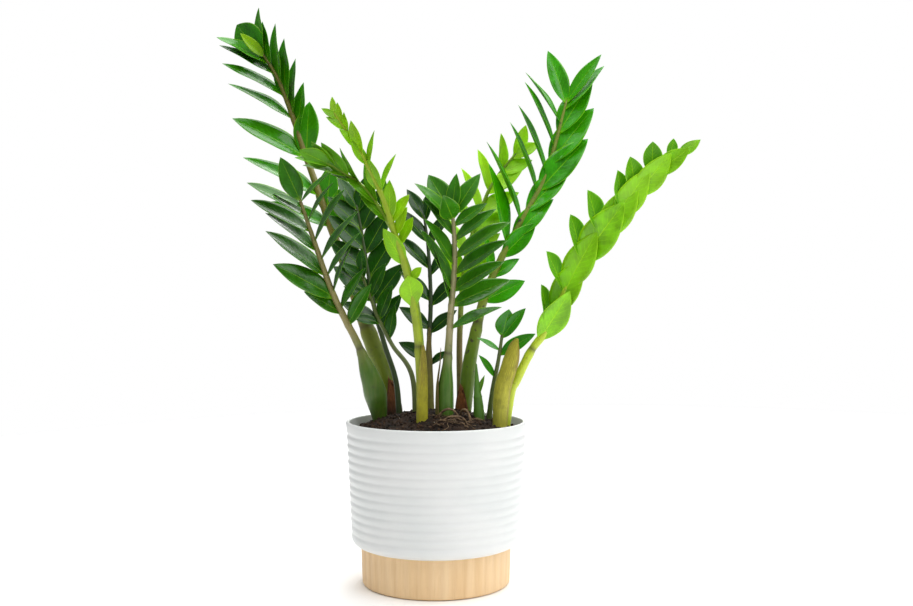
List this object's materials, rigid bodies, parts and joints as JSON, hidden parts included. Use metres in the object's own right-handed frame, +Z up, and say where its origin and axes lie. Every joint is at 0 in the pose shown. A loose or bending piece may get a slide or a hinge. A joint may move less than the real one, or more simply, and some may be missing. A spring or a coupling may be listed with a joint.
{
  "type": "potted zz plant",
  "caption": "Potted zz plant: arching fronds of glossy pointed leaflets, dark and lime green, in a ribbed white pot on a pale wood-look base.",
  "frame": {"origin": "centre of the base's underside, on the ground", "axes": "+Z up, the plant's front faces -Y"},
  "size_m": [0.5538, 0.2305, 0.6763],
  "materials": {
    "white_glaze": "satin",
    "pale_wood": "matte",
    "potting_soil": "matte",
    "green_leaf": "satin",
    "dark_leaf": "satin",
    "lime_leaf": "satin",
    "olive_sheath": "matte",
    "dry_sheath": "matte",
    "root_skin": "matte"
  },
  "bodies": {
    "root": {"base": "pale_wood", "pot": "white_glaze", "soil": "potting_soil", "frond_lime_centre": "lime_leaf", "frond_centre": "green_leaf", "frond_front_left": "green_leaf", "frond_lime_left": "lime_leaf", "frond_dark_right": "dark_leaf", "frond_lime_right": "lime_leaf", "frond_tall_right": "green_leaf", "frond_dark_mid_left": "dark_leaf", "frond_dark_centre": "dark_leaf", "frond_dark_back_left": "dark_leaf", "frond_lime_back": "lime_leaf", "frond_tall_left": "green_leaf", "shoot_green": "green_leaf", "sheath_lime_centre": "olive_sheath", "sheath_centre": "olive_sheath", "sheath_tall_right": "dry_sheath", "sheath_lime_right": "olive_sheath", "sheath_dark_centre": "olive_sheath", "sheath_tall_left": "dry_sheath", "root_front": "root_skin", "root_left": "root_skin", "root_right": "root_skin"}
  },
  "joints": []
}
